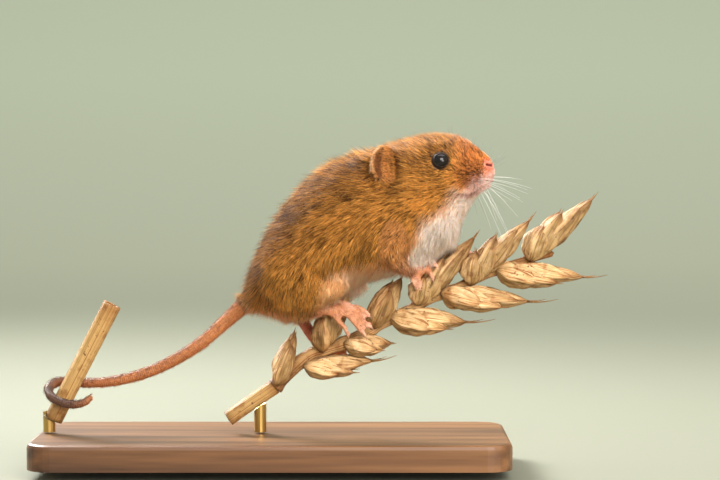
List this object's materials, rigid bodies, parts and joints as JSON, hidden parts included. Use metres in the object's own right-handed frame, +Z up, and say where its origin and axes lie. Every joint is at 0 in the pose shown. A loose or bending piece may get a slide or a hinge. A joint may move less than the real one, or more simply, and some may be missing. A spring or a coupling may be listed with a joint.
{
  "type": "harvest mouse model",
  "caption": "Still, life-size museum model of a harvest mouse gripping a cut length of ripe wheat ear, its tail curled round a second stalk, on a flat wooden stand.",
  "frame": {"origin": "centre of the underside of the stand's base", "axes": "+Z up, +X the way the mouse faces and the base's long direction, -Y the mouse's right side"},
  "size_m": [0.1082, 0.036, 0.063],
  "materials": {
    "fur": "short rust-brown fur, cream on the chest and belly",
    "bare_skin": "soft bare pink skin on the feet, darker ringed skin on the tail",
    "eye": "wet glossy black",
    "claw": "pale translucent horn",
    "whisker": "fine stiff hairs",
    "straw": "dry ribbed ripe straw",
    "brass": "satin turned rod",
    "oak": "oiled dark oak"
  },
  "bodies": {
    "root": {"torso": "fur", "neck": "fur", "head": "fur", "ear_right": "fur", "ear_left": "fur", "eye_right": "eye", "eye_left": "eye", "leg_fore_right": "fur", "leg_fore_left": "fur", "leg_hind_right": "fur", "leg_hind_left": "fur", "hand_right": "bare_skin", "hand_left": "bare_skin", "foot_right": "bare_skin", "foot_left": "bare_skin", "tail_root": "bare_skin", "tail_middle": "bare_skin", "tail_curl": "bare_skin", "perch_ear": "straw", "perch_stem": "straw", "perch_stalk": "straw", "stand_rod_ear": "brass", "stand_rod_stalk": "brass", "stand_base": "oak"}
  },
  "joints": []
}
